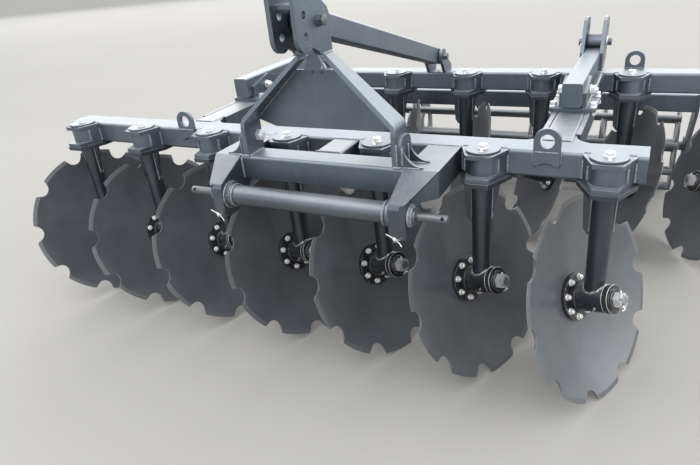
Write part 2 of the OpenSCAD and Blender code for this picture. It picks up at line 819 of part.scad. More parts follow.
module roller_cheeks() {
  back = carrier_y + carrier_s / 2 + 2;
  front = carrier_y - carrier_s / 2 - 2;
  color(paint) place() translate([frame_x, 0, 0]) both_sides() difference() {
    union() {
      side_plate(cheek_x - cheek_w / 2, cheek_w) union() {
        polygon([[front, carrier_z - carrier_s / 2 - 2], [front, carrier_z + carrier_s / 2 + 2],
          [back, carrier_z + carrier_s / 2 + 2], [roller_y + 44, roller_z + 30],
          [roller_y - 44, roller_z - 30]]);
        translate([roller_y, roller_z]) circle(54);
      }
      across(cheek_x - cheek_w / 2 + bearing_l / 2 - 8, roller_y, roller_z, bearing_d, bearing_l);
    }
    across(cheek_x, roller_y, roller_z, axle_d + axle_fit, 2 * bearing_l);
  }
}

// round bars on plates with lightening holes, on a tube and a through axle
module roller_drum() {
  color(steel) place() translate([frame_x, roller_y, roller_z]) rotate([0, 90, 0]) {
    cylinder(d = 60, h = 2 * roller_half, center = true);
    cylinder(d = axle_d, h = 2 * (cheek_x + bearing_l - 4), center = true);
    for (k = [0:support_n - 1])
      translate([0, 0, -roller_half + support_t / 2 + k * (2 * roller_half - support_t) / (support_n - 1)])
        difference() {
          cylinder(d = roller_d - bar_d, h = support_t, center = true);
          for (a = [0:4]) rotate([0, 0, 72 * a + 36]) translate([roller_d * 0.26, 0, 0])
            cylinder(r = hole_r, h = support_t + 2, center = true);
        }
    for (k = [0:bar_n - 1]) rotate([0, 0, k * 360 / bar_n])
      translate([roller_d / 2 - bar_d / 2, 0, 0])
        cylinder(d = bar_d, h = 2 * roller_half, center = true);
  }
}

module blade_node(side, i) {
  color(steel) place() at_disc(side, i - 1)
    disc_blade(side > 0 ? front_turn[i - 1] : rear_turn[i - 1]);
}

module hub_node(side, i) {
  color(zinc) place() at_disc(side, i - 1) hub_turning();
}

cross_beams();
lengthwise_tubes();
hitch_brackets();
link_shaft();
link_pins();
mast_legs();
mast_plates();
mast_shield();
rear_brace();
brace_clevis();
leg_mounts();
legs();
lifting_eyes();
roller_arms();
swing_arms();
roller_beam();
roller_cheeks();
roller_drum();
blade_node(1, 1);  // disc_f1
blade_node(1, 2);  // disc_f2
blade_node(1, 3);  // disc_f3
blade_node(1, 4);  // disc_f4
blade_node(1, 5);  // disc_f5
blade_node(1, 6);  // disc_f6
blade_node(1, 7);  // disc_f7
hub_node(1, 1);  // hub_f1
hub_node(1, 2);  // hub_f2
hub_node(1, 3);  // hub_f3
hub_node(1, 4);  // hub_f4
hub_node(1, 5);  // hub_f5
hub_node(1, 6);  // hub_f6
hub_node(1, 7);  // hub_f7
blade_node(-1, 1);  // disc_r1
blade_node(-1, 2);  // disc_r2
blade_node(-1, 3);  // disc_r3
blade_node(-1, 4);  // disc_r4
blade_node(-1, 5);  // disc_r5
blade_node(-1, 6);  // disc_r6
blade_node(-1, 7);  // disc_r7
hub_node(-1, 1);  // hub_r1
hub_node(-1, 2);  // hub_r2
hub_node(-1, 3);  // hub_r3
hub_node(-1, 4);  // hub_r4
hub_node(-1, 5);  // hub_r5
hub_node(-1, 6);  // hub_r6
hub_node(-1, 7);  // hub_r7
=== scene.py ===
import math
import random

import bmesh
import bpy
from mathutils import Matrix, Vector


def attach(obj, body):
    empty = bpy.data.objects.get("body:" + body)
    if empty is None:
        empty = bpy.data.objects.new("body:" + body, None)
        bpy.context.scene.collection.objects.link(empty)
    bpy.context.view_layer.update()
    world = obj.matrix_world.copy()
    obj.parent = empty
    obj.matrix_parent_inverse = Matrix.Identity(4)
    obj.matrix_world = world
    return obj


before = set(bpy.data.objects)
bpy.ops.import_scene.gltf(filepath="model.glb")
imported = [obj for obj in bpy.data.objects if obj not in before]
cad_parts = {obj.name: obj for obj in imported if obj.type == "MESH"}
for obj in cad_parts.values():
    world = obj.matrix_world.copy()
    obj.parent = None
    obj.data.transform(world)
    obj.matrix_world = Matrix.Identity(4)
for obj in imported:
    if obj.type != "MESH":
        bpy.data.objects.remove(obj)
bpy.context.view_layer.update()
rng = random.Random(7)

# Places of the part's own source, in millimetres: x from the middle of the machine, y back from
# the face of the front beam, z up from the ground.
Y_MID = 678.0  # middle of the outer box
BEAM_TOP = 660.0
BEAM_LOW = 590.0
BEAM_D = 90.0
ROW_GAP = 873.0  # from the front beam's face to the rear one's
PITCH = 300.0
LEG_OUT = 20.0  # leg axes, ahead of the beam's face
PER_ROW = 7
FRONT_X = [-1050.0 + PITCH * i for i in range(PER_ROW)]
REAR_X = [-750.0 + PITCH * i for i in range(PER_ROW)]
LEG_Y = (-LEG_OUT, ROW_GAP - LEG_OUT)
MOUNTS = [(x, LEG_Y[0]) for x in FRONT_X] + [(x, LEG_Y[1]) for x in REAR_X]
CAP_TOP = BEAM_TOP + 6.0
HOUSING_R = 43.0

FRAME_X = 25.0  # middle of the frame and of the roller
MEMBER = 590.0  # long members, out from the frame's middle
EYE_FRONT = 581.0  # lifting eyes, out from the frame's middle
EYE_REAR = 727.0

HITCH_X = 50.0  # middle of the three-point hitch
SHAFT_Y = -263.0
SHAFT_Z = 571.0
NOSE_X = 267.5  # middle of each bracket's nose, out from the hitch's middle
MAST_FOOT = 230.5  # middle of each mast bar on the hitch beam
BRACE_X = 20.0

ATTACK = math.radians(22.0)
LEAN = math.radians(18.0)
DISC_R = 280.0
DISC_DISH = 54.0
DISC_FLAT = 72.0
DISC_THICK = 6.0
BARREL_R = 37.0
LEG_TUBE_R = 26.5  # at the barrel
FLANGE_FACE = -42.0  # along the hub axis, like the next two
SLEEVE_GROOVES = (42.9, 57.4)
SPLIT_PIN = 80.5
STUD_CIRCLE = 54.0
STUDS = 8

ROLLER_Y = 1450.0
ROLLER_Z = 210.0
BAR_CIRCLE = 196.0
BARS = 10
SWING_Y = 905.0
SWING_Z = 766.0
CHEEK_FACE = 971.0  # out from the frame's middle


def at(x, y, z):
    """Point in metres in the shared frame, from a place in millimetres."""
    return Vector((x / 1000.0, (y - Y_MID) / 1000.0, z / 1000.0))


WORLD = Matrix.Translation(at(0.0, 0.0, 0.0))


def moved(x, y, z):
    """Shift within a place, in millimetres."""
    return Matrix.Translation(Vector((x, y, z)) / 1000.0)


def up_by(z):
    return moved(0.0, 0.0, z)


def aimed(x, y, z, direction, turn=0.0):
    """Place at a point whose own Z runs along the direction."""
    spin = Vector(direction).to_track_quat("Z", "Y").to_matrix().to_4x4()
    return Matrix.Translation(at(x, y, z)) @ spin @ Matrix.Rotation(math.radians(turn), 4, "Z")


def upright(x, y, z, turn=0.0):
    return aimed(x, y, z, (0.0, 0.0, 1.0), turn)


def any_turn():
    """Where a hex head came to rest, in degrees."""
    return rng.uniform(0, 60)


def circle(x, y, z, radius, axis, start=0.0, end=360.0, count=48):
    """Points of an arc about an axis, in the machine's own millimetres."""
    turn = Vector(axis).to_track_quat("Z", "Y")
    points = []
    for k in range(count + 1):
        a = math.radians(start + (end - start) * k / count)
        spoke = Vector((radius * math.cos(a), radius * math.sin(a), 0.0))
        points.append(Vector((x, y, z)) + turn @ spoke)
    return points


def make_camera():
    """Camera that lays the part over the photograph."""
    across = Vector((0.89177273, 0.44304027, -0.09196043))
    up = Vector((-0.12721271, 0.44052097, 0.88868341))
    look = Vector((-0.43423304, 0.78080509, -0.44920494))
    data = bpy.data.cameras.new("camera")
    data.sensor_width = 36.0
    data.lens = 29.5617
    data.clip_end = 200.0
    camera = bpy.data.objects.new("camera", data)
    turn = Matrix((across, up, -look)).transposed()
    camera.matrix_world = Matrix.Translation(at(815.137, -1425.320, 1169.825)) @ turn.to_4x4()
    bpy.context.scene.collection.objects.link(camera)
    bpy.context.scene.camera = camera


make_camera()


class Tone:
    """A socket in a finish; sums and products on it add Math nodes."""

    def __init__(self, finish, socket):
        self.finish = finish
        self.socket = socket

    def math(self, operation, *others, clamp=False):
        settings = {"operation": operation, "use_clamp": clamp}
        return self.finish.node("ShaderNodeMath", settings, dict(enumerate(others)))

    def __add__(self, other):
        return self.math("ADD", self, other)

    __radd__ = __add__

    def __mul__(self, other):
        return self.math("MULTIPLY", self, other)

    __rmul__ = __mul__

    def __sub__(self, other):
        return self.math("SUBTRACT", self, other)

    def __rsub__(self, other):
        return self.math("SUBTRACT", other, self)

    def __pow__(self, other):
        return self.math("POWER", self, other)

    def clip(self):
        return self.math("ADD", self, 0.0, clamp=True)

    def above(self, low, high):
        """0 below low, 1 above high, smooth between."""
        values = {"Value": self, "From Min": low, "From Max": high}
        return self.finish.node("ShaderNodeMapRange", {"interpolation_type": "SMOOTHSTEP"}, values)


class Finish:
    """A material with one Principled shader."""

    def __init__(self, name):
        self.material = bpy.data.materials.new(name)
        self.material.use_nodes = True
        self.tree = self.material.node_tree
        self.tree.nodes.clear()

    def node(self, kind, settings=None, values=None, out=0):
        """One node; its settings go in before the values and links of its sockets."""
        made = self.tree.nodes.new(kind)
        for name, value in (settings or {}).items():
            setattr(made, name, value)
        for name, value in (values or {}).items():
            socket = made.inputs[name]
            if isinstance(value, Tone):
                self.tree.links.new(value.socket, socket)
            elif isinstance(value, tuple) and len(value) == 3 and socket.type == "RGBA":
                socket.default_value = (*value, 1.0)
            else:
                socket.default_value = value
        return Tone(self, made.outputs[out]) if made.outputs else None

    def place(self):
        return self.node("ShaderNodeTexCoord", out="Object")

    def parts(self, vector):
        """The three numbers of a vector."""
        split = self.node("ShaderNodeSeparateXYZ", values={0: vector})
        outs = split.socket.node.outputs
        return [Tone(self, outs[i]) for i in range(3)]

    def noise(self, vector, scale, detail=3.0, rough=0.5, warp=0.0):
        values = {"Vector": vector, "Scale": scale, "Detail": detail}
        values |= {"Roughness": rough, "Distortion": warp}
        return self.node("ShaderNodeTexNoise", {"noise_dimensions": "3D"}, values)

    def mapped(self, vector, **changes):
        """The vector scaled, turned or shifted by constant Scale, Rotation or Location."""
        values = {"Vector": vector, **changes}
        return self.node("ShaderNodeMapping", {"vector_type": "POINT"}, values)

    def mix(self, share, first, second):
        """The first colour with a share of the second over it."""
        made = self.node("ShaderNodeMix", {"data_type": "RGBA"}, {"Factor": share}, out=2)
        inputs = made.socket.node.inputs
        for socket, value in ((inputs[6], first), (inputs[7], second)):
            if isinstance(value, Tone):
                self.tree.links.new(value.socket, socket)
            else:
                socket.default_value = (*value, 1.0)
        return made

    def facing(self):
        return self.node("ShaderNodeNewGeometry", out="Normal")

    def rounded(self, radius):
        """The normal as if edges were rounded to the radius, in metres."""
        return self.node("ShaderNodeBevel", {"samples": 4}, {"Radius": radius})

    def edges(self, radius):
        """1 along outer and inner edges, 0 on the flats."""
        values = {0: self.rounded(radius), 1: self.facing()}
        dot = self.node("ShaderNodeVectorMath", {"operation": "DOT_PRODUCT"}, values, out="Value")
        return ((1.0 - dot) * 6.0).clip()

    def bump(self, height, strength, distance, normal=None):
        values = {"Height": height, "Strength": strength, "Distance": distance}
        if normal is not None:
            values["Normal"] = normal
        return self.node("ShaderNodeBump", {}, values)

    def shade(self, **sockets):
        """Ends the finish with its shader and gives the material."""
        names = {
            "colour": "Base Color",
            "roughness": "Roughness",
            "metallic": "Metallic",
            "normal": "Normal",
            "specular": "Specular IOR Level",
        }
        values = {names[k]: v for k, v in sockets.items()}
        shader = self.node("ShaderNodeBsdfPrincipled", {}, values)
        self.node("ShaderNodeOutputMaterial", {}, {"Surface": shader})
        return self.material


# Pale grey that upward faces go toward: a light dusting and a painted sky sheen on the tops.
DUST_AND_SHEEN = (0.34, 0.34, 0.33)
THIN_PAINT = (0.36, 0.37, 0.38)
# Pale grey of the disc's cut edges: bare metal and a painted edge highlight.
BARE_EDGE_AND_GLINT = (0.42, 0.42, 0.42)
TURNED_STEEL = (0.55, 0.55, 0.56)
OILY_THREAD = (0.10, 0.10, 0.10)


def satin_paint(name, dark, light, gloss=0.40, top_dust_and_sheen=0.42, dull=0.5):
    """Sprayed satin paint: orange peel, thin paint on edges, and upward faces paler from a light
    dusting and a painted sky sheen on the tops.
    """
    f = Finish(name)
    place = f.place()
    cloud = f.noise(place, scale=5.0, detail=4.0, rough=0.6)
    fine = f.noise(place, scale=90.0, rough=0.6)
    peel = f.noise(place, scale=520.0, detail=2.0)
    runs = f.noise(f.mapped(place, Scale=(60.0, 60.0, 7.0)), scale=1.0, rough=0.6)
    up = f.parts(f.facing())[2]
    patchy = cloud.above(0.35, 0.7) * 0.35 + fine.above(0.45, 0.75) * 0.25 + 0.4
    # Upward faces paler: partly a light dusting, partly a painted sky sheen on the tops.
    dust_and_sheen = up.above(0.35, 0.95) * patchy
    worn = (f.edges(0.0022) * fine.above(0.42, 0.62)).clip()
    colour = f.mix(cloud.above(0.3, 0.7), dark, light)
    colour = f.mix(runs.above(0.5, 0.8) * 0.3, colour, tuple(c * 1.25 for c in light))
    colour = f.mix(dust_and_sheen * top_dust_and_sheen, colour, DUST_AND_SHEEN)
    colour = f.mix(worn * 0.35, colour, THIN_PAINT)
    rough = cloud * 0.10 + fine * 0.08 + dust_and_sheen * 0.08 + (gloss - 0.09)
    normal = f.bump(peel * 0.6 + fine * 0.4, 0.10, 0.0006, f.rounded(0.0018))
    metal = 0.86 - dust_and_sheen * dull - worn * 0.1
    return f.shade(colour=colour, roughness=rough, metallic=metal, normal=normal)


def hub_frame(side, x, y):
    """Rotation of a hub and the middle of its disc's rim plane, in metres."""
    spin = -ATTACK if side > 0 else math.pi + ATTACK
    turn = Matrix.Rotation(spin, 4, "Z") @ Matrix.Rotation(math.pi / 2 - LEAN, 4, "Y")
    rise = (DISC_R**2 - DISC_FLAT**2 - DISC_DISH**2) / (2 * DISC_DISH)
    ball = math.sqrt(DISC_R**2 + rise**2)
    low = math.sqrt(ball**2 - DISC_R**2) - math.sqrt((ball + DISC_THICK) ** 2 - DISC_R**2)
    height = DISC_R * math.cos(LEAN) - low * math.sin(LEAN)
    return turn, at(x, y, height)


def turned_place(f, side, x, y):
    """Place in the frame of one disc: Z along the hub axis, out of the hollow side."""
    turn, origin = hub_frame(side, x, y)
    back = turn.to_3x3().inverted()
    shift = -(back @ origin)
    return f.mapped(f.place(), Location=tuple(shift), Rotation=tuple(back.to_euler("XYZ")))


def from_axis(px, py):
    """How far a place is from the hub axis."""
    return (px * px + py * py) ** 0.5


def disc_finish(name, side, x, y):
    """Dark satin coat on a pressed disc; painted light makes the rim band and the ground bevel
    paler, and the cut edges are paler from bare metal and a painted edge highlight.
    """
    f = Finish(name)
    place = turned_place(f, side, x, y)
    radius = from_axis(*f.parts(place)[:2])
    cloud = f.noise(place, scale=7.0, detail=5.0, rough=0.62, warp=0.4)
    fine = f.noise(place, scale=70.0, detail=4.0, rough=0.6)
    peel = f.noise(place, scale=420.0, detail=2.0)
    outward = f.node("ShaderNodeCombineXYZ", {}, {0: radius * 60.0, 1: 0.0, 2: 0.0})
    rings = f.noise(outward, scale=4.0, detail=2.0)
    bevel = radius.above(0.2655, 0.2665)  # the ground band along the rim
    rim = radius.above(0.235, 0.281)
    worn = (f.edges(0.0018) * (fine.above(0.35, 0.6) * 0.6 + 0.4)).clip()
    colour = f.mix(cloud.above(0.3, 0.72), (0.066, 0.072, 0.081), (0.092, 0.099, 0.110))
    colour = f.mix(rings * 0.12, colour, (0.09, 0.092, 0.095))
    # Painted light on the rim band, paler in patches.
    colour = f.mix(rim * fine * 0.16, colour, (0.12, 0.122, 0.127))
    # Painted sky reflection on the ground bevel, which is the same paint drawn paler.
    colour = f.mix(bevel * (fine * 0.25 + 0.02), colour, (0.14, 0.145, 0.155))
    # Cut edges paler: bare metal and a painted edge highlight.
    colour = f.mix(worn * 0.75, colour, BARE_EDGE_AND_GLINT)
    rough = cloud * 0.12 + fine * 0.08 + 0.25 - worn * 0.06
    normal = f.bump(peel * 0.5 + rings * 0.25 + fine * 0.4, 0.12, 0.0006)
    metal = worn * 0.4
    return f.shade(colour=colour, roughness=rough, metallic=metal, normal=normal, specular=0.55)


def hub_finish(name, side, x, y):
    """Gloss black flange and ring, bare metal on the turned edges, plated castle nut."""
    f = Finish(name)
    place = turned_place(f, side, x, y)
    px, py, pz = f.parts(place)
    fine = f.noise(place, scale=120.0, rough=0.6)
    cloud = f.noise(place, scale=18.0, rough=0.6)
    plated = pz.above(0.0645, 0.0655)  # from the top of the washer outward
    bare = (f.edges(0.0014) * (fine.above(0.3, 0.5) * 0.6 + 0.4)).clip() * (1.0 - plated)
    thread = plated * (1.0 - from_axis(px, py).above(0.0118, 0.0124))
    paint = f.mix(cloud.above(0.3, 0.7), (0.012, 0.012, 0.014), (0.022, 0.023, 0.026))
    paint = f.mix(bare * 0.85, paint, TURNED_STEEL)
    zinc = f.mix(cloud.above(0.35, 0.65), (0.70, 0.71, 0.72), (0.84, 0.84, 0.82))
    zinc = f.mix(thread * 0.8, zinc, OILY_THREAD)
    colour = f.mix(plated, paint, zinc)
    metal = (plated * 0.7 + bare * 0.7).clip()
    rough = fine * 0.14 + 0.18 + plated * 0.10 + thread * 0.2
    normal = f.bump(fine, 0.08, 0.0006, f.rounded(0.0008))
    return f.shade(colour=colour, roughness=rough, metallic=metal, normal=normal, specular=0.7)


def zinc_finish(name, tint, rough):
    """Zinc plate on bolts, nuts and pins."""
    f = Finish(name)
    place = f.place()
    cloud = f.noise(place, scale=60.0, rough=0.6)
    fine = f.noise(place, scale=600.0, detail=2.0, rough=0.6)
    warm = tuple(c * k for c, k in zip(tint, (1.05, 1.03, 0.96)))
    dull = tuple(c * 0.7 for c in tint)
    colour = f.mix(cloud.above(0.35, 0.65), tint, warm)
    colour = f.mix(fine.above(0.55, 0.75) * 0.35, colour, dull)
    gloss = cloud * 0.16 + fine * 0.12 + (rough - 0.04)
    normal = f.bump(fine, 0.12, 0.0004, f.rounded(0.0006))
    return f.shade(colour=colour, roughness=gloss, metallic=0.62, normal=normal)


def weld_finish(name, dark, light, metal):
    """Weld bead: paint runs thin on the ripples."""
    f = Finish(name)
    place = f.place()
    fine = f.noise(place, scale=160.0, rough=0.6)
    spots = f.noise(place, scale=420.0, detail=2.0, rough=0.6)
    colour = f.mix(fine.above(0.4, 0.65), dark, light)
    rough = fine * 0.16 + 0.26
    normal = f.bump(fine * 0.6 + spots * 0.4, 0.25, 0.0008)
    bare = fine * metal
    return f.shade(colour=colour, roughness=rough, metallic=bare, normal=normal, specular=0.9)


def rubber_and_shadow_finish():
    """Black rubber of the hub seals, and black painted shadow in the joint under each cap."""
    f = Finish("black_rubber_and_shadow")
    place = f.place()
    fine = f.noise(place, scale=240.0, rough=0.6)
    cloud = f.noise(place, scale=30.0, rough=0.6)
    colour = f.mix(cloud.above(0.3, 0.7), (0.008, 0.008, 0.009), (0.018, 0.018, 0.018))
    return f.shade(colour=colour, roughness=fine * 0.2 + 0.5, normal=f.bump(fine, 0.2, 0.0005))


def floor_finish():
    """Plain pale ground, barely mottled."""
    f = Finish("pale_floor")
    place = f.place()
    cloud = f.noise(place, scale=0.6)
    fine = f.noise(place, scale=60.0, detail=2.0)
    colour = f.mix(cloud, (0.292, 0.284, 0.268), (0.314, 0.305, 0.288))
    normal = f.bump(fine, 0.05, 0.001)
    return f.shade(colour=colour, roughness=0.9, normal=normal, specular=0.05)


GREY_DARK, GREY_LIGHT = (0.122, 0.144, 0.172), (0.150, 0.175, 0.207)
GRAPHITE = satin_paint("graphite_paint", GREY_DARK, GREY_LIGHT)
# The long members take a larger share of the pale tops: dusting and painted sky sheen.
MEMBER_PAINT = satin_paint("member_paint", GREY_DARK, GREY_LIGHT, gloss=0.42, top_dust_and_sheen=0.75, dull=0.72)
SHAFT_PAINT = satin_paint("shaft_paint", (0.100, 0.115, 0.132), (0.130, 0.148, 0.170), gloss=0.36)
# Darker copy of the graphite paint: painted shade on the hitch brackets and their slope plates.
SHADED_BRACKET_PAINT = satin_paint("bracket_paint", (0.086, 0.101, 0.121), (0.108, 0.126, 0.148))
LEG_PAINT = satin_paint("leg_paint", (0.060, 0.070, 0.084), (0.084, 0.095, 0.110), gloss=0.36)
# Lighter copy of the graphite paint, with more of the pale tops: painted highlight along the roller
# bars.
ROLLER = satin_paint("roller_paint", (0.130, 0.142, 0.158), (0.170, 0.182, 0.198), 0.44, 0.5)
ZINC = zinc_finish("bright_zinc", (0.80, 0.81, 0.83), 0.30)
PIN = zinc_finish("worn_pin", (0.115, 0.125, 0.14), 0.26)
WELD = weld_finish("painted_weld", (0.165, 0.185, 0.21), (0.33, 0.35, 0.375), 0.65)
# Near-black beads: painted shadow in the gap under the eye tabs.
TAB_SHADOW_WELD = weld_finish("tab_shadow_weld", (0.02, 0.024, 0.03), (0.07, 0.078, 0.09), 0.5)
SILVER_WELD = weld_finish("bare_weld", (0.16, 0.165, 0.17), (0.60, 0.61, 0.62), 1.0)
RUBBER_AND_SHADOW = rubber_and_shadow_finish()
OWN_PAINT = {
    "roller_drum": ROLLER,
    "link_pins": PIN,
    "link_shaft": SHAFT_PAINT,
    "lengthwise_tubes": MEMBER_PAINT,
    "hitch_brackets": SHADED_BRACKET_PAINT,
    "legs": LEG_PAINT,
}


def dress(node, material):
    """Gives a carried-over node its material."""
    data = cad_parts[node].data
    data.materials.clear()
    data.materials.append(material)


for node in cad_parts:
    if node.startswith(("disc_", "hub_")):
        kind, tag = node.split("_")
        row = "fr".index(tag[0])
        x = (FRONT_X, REAR_X)[row][int(tag[1]) - 1]
        make = disc_finish if kind == "disc" else hub_finish
        dress(node, make(node, (1, -1)[row], x, LEG_Y[row]))
    else:
        dress(node, OWN_PAINT.get(node, GRAPHITE))


WASHER_THICK = 2.6


class Piece:
    """Gathers shapes, in millimetres, into one object."""

    def __init__(self, name):
        self.name = name
        self.mesh = bmesh.new()

    def skin(self, rings, place=WORLD, loop=False):
        """Faces between rings of equal length, capped at the ends or closed in a loop."""
        made = []
        for ring in rings:
            made.append([self.mesh.verts.new(place @ (Vector(p) / 1000.0)) for p in ring])
        count = len(made[0])
        pairs = list(zip(made, made[1:]))
        if loop:
            pairs.append((made[-1], made[0]))
        else:
            self.mesh.faces.new(list(reversed(made[0])))
            self.mesh.faces.new(made[-1])
        for low, high in pairs:
            for i in range(count):
                j = (i + 1) % count
                self.mesh.faces.new((low[i], low[j], high[j], high[i]))

    def lathe(self, profile, place, count):
        """Closed solid turned about the Z axis of the place from (radius, height) pairs."""
        rings = []
        for radius, z in profile:
            ring = []
            for k in range(count):
                a = 2 * math.pi * k / count
                ring.append((radius * math.cos(a), radius * math.sin(a), z))
            rings.append(ring)
        self.skin(rings, place)

    def hexagon(self, flats, height, place, count=36):
        """Chamfered hex head or nut standing on z = 0."""
        half = flats / 2.0
        low, top, crown = [], [], []
        for k in range(count):
            a = 2 * math.pi * k / count
            off = (a + math.pi / 6) % (math.pi / 3) - math.pi / 6
            r = half / math.cos(off)
            c, s = math.cos(a), math.sin(a)
            low.append((r * c, r * s, 0.0))
            top.append((r * c, r * s, height - (r - half * 0.96) * 0.62))
            crown.append((half * 0.94 * c, half * 0.94 * s, height))
        self.skin([low, top, crown], place)

    def hoop(self, radius, z, thick, place, count=48):
        """Round wire ring about the Z axis of the place."""
        rings = []
        for k in range(count):
            a = 2 * math.pi * k / count
            ring = []
            for j in range(6):
                b = 2 * math.pi * j / 6
                r = radius + thick * math.cos(b)
                ring.append((r * math.cos(a), r * math.sin(a), z + thick * math.sin(b)))
            rings.append(ring)
        self.skin(rings, place, loop=True)

    def washer(self, radius, thick, place):
        profile = [(radius, 0.0), (radius, thick - 0.5), (radius - 0.6, thick), (3.0, thick)]
        self.lathe(profile, place, 28)

    def bolt(self, flats, place, height, washer=0.0, stud=0.0):
        """Washer of a radius, hex head or nut, and the stud end that stands out of a nut."""
        seat = place
        if washer:
            self.washer(washer, WASHER_THICK, place)
            seat = place @ up_by(WASHER_THICK)
        self.hexagon(flats, height, seat)
        if stud:
            r = flats * 0.32
            top = height + stud
            self.lathe([(r, 0.0), (r, top - 1.5), (r - 1.5, top), (0.8, top)], seat, 16)

    def tube(self, points, radius, place=WORLD, count=8, radii=None):
        """Round bar along a path of points, of one radius or of one for each point."""
        path = [Vector(p) for p in points]
        rings = []
        side = None
        for i, p in enumerate(path):
            ahead = path[min(i + 1, len(path) - 1)] - path[max(i - 1, 0)]
            ahead.normalize()
            if side is None:
                side = ahead.orthogonal().normalized()
            side = (side - ahead * side.dot(ahead)).normalized()
            other = ahead.cross(side)
            r = radii[i] if radii else radius
            ring = []
            for k in range(count):
                a = 2 * math.pi * k / count
                ring.append(p + side * (r * math.cos(a)) + other * (r * math.sin(a)))
            rings.append(ring)
        self.skin(rings, place)

    def bead(self, points, radius, ripple=5.0):
        """Weld bead along a path, swelling and shrinking once in each ripple."""
        path = [Vector(p) for p in points]
        step = ripple / 2.0
        spots = [path[0]]
        left = step
        for a, b in zip(path, path[1:]):
            span = (b - a).length
            done = 0.0
            while span - done > left:
                done += left
                spots.append(a.lerp(b, done / span))
                left = step
            left -= span - done
        if len(spots) < 3:
            spots = [path[0], (path[0] + path[-1]) / 2.0, path[-1]]
        radii = []
        for i in range(len(spots)):
            swell = 1.0 if i % 2 == 0 else 0.80
            radii.append(radius * swell * rng.uniform(0.94, 1.06))
        radii[0] = radii[-1] = radius * 0.4
        self.tube(spots, radius, count=7, radii=radii)

    def finish(self, material, body, slot, smooth=38.0):
        """Turns the shapes into an object that rides on a body; edges past smooth stay sharp."""
        bmesh.ops.recalc_face_normals(self.mesh, faces=self.mesh.faces)
        data = bpy.data.meshes.new(self.name)
        self.mesh.to_mesh(data)
        self.mesh.free()
        for polygon in data.polygons:
            polygon.use_smooth = True
        data.set_sharp_from_angle(angle=math.radians(smooth))
        data.materials.append(material)
        piece = bpy.data.objects.new(self.name, data)
        bpy.context.scene.collection.objects.link(piece)
        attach(piece, body)


def mount_hardware():
    """Hex bolt, washer and grease plug on each round cap, and a black ring under the cap as painted
    shadow in the joint.
    """
    bolts = Piece("mount_bolts")
    cap_shadows = Piece("cap_shadow_rings")
    plug = [(5.0, 0.0), (5.0, 1.6), (3.6, 3.6), (3.4, 5.0), (1.6, 6.4), (0.5, 6.6)]
    # Black ring at the foot of each cap: painted shadow in the joint.
    shadow_ring = [(43.0, -0.6), (44.5, -0.4), (44.7, 0.6), (44.4, 1.6), (43.0, 1.8)]
    for x, y in MOUNTS:
        bolts.bolt(22.0, upright(x, y, CAP_TOP, any_turn()), height=9.0, washer=13.2)
        bolts.lathe(plug, upright(x + 3.0, y - 29.0, CAP_TOP), 16)
        cap_shadows.lathe(shadow_ring, upright(x, y, BEAM_TOP), 48)
    bolts.finish(ZINC, "frame", "zinc_plate")
    cap_shadows.finish(RUBBER_AND_SHADOW, "frame", "frame_paint")


def hub_hardware(tag, side, x, y):
    """Studs with washers and nuts on the flange, rings on the sleeve, split pin, and the seal."""
    turn, origin = hub_frame(side, x, y)
    place = Matrix.Translation(origin) @ turn
    body = "disc_%s_turning" % tag
    nuts = Piece("hub_bolts_" + tag)
    for k in range(STUDS):
        a = 2 * math.pi * (k + 0.5) / STUDS
        spot = place @ moved(STUD_CIRCLE * math.cos(a), STUD_CIRCLE * math.sin(a), FLANGE_FACE)
        spot = spot @ Matrix.Rotation(rng.uniform(0.0, 1.0), 4, "Z")
        nuts.lathe([(9.2, 0.0), (9.2, 1.2), (8.6, 1.8), (5.0, 1.8)], spot, 20)
        nuts.hexagon(13.0, 7.0, spot @ up_by(1.8))
        nuts.lathe([(4.2, 8.0), (4.2, 10.4), (3.0, 11.6), (0.6, 11.8)], spot, 14)
    z = SPLIT_PIN
    nuts.tube([(across, 0.0, z) for across in (-27.0, -12.0, 12.0, 24.0)], 2.4, place)
    for s in (1, -1):
        leg = [(22.0, s * 1.2, z), (25.5, s * 2.6, z), (26.0, s * 9.0, z - 2.0)]
        nuts.tube(leg, 1.5, place, 7)
    for groove in SLEEVE_GROOVES:
        nuts.hoop(38.5, groove, 0.55, place)
    nuts.finish(ZINC, body, "zinc_plate")
    seal = Piece("hub_seal_" + tag)
    profile = [(38.0, -42.0), (41.5, -41.6), (41.5, -39.4), (39.2, -38.8), (39.2, -37.4)]
    profile += [(40.8, -36.8), (40.8, -34.6), (38.9, -34.0), (38.0, -33.4)]
    seal.lathe(profile, place, 48)
    seal.finish(RUBBER_AND_SHADOW, body, "hub_paint")


def saddle(x, y, hub_z, axis, count=60):
    """Line on which a leg's round tube meets its slanted barrel."""
    points = []
    for k in range(count + 1):
        a = 2 * math.pi * k / count
        q = Vector((LEG_TUBE_R * math.cos(a), LEG_TUBE_R * math.sin(a), 0.0))
        along = q.dot(axis)
        ka = 1.0 - axis.z**2
        kb = -2.0 * axis.z * along
        kc = q.length_squared - along**2 - BARREL_R**2
        z = (-kb + math.sqrt(kb * kb - 4 * ka * kc)) / (2 * ka)
        points.append((x + q.x, y + q.y, hub_z + z))
    return points


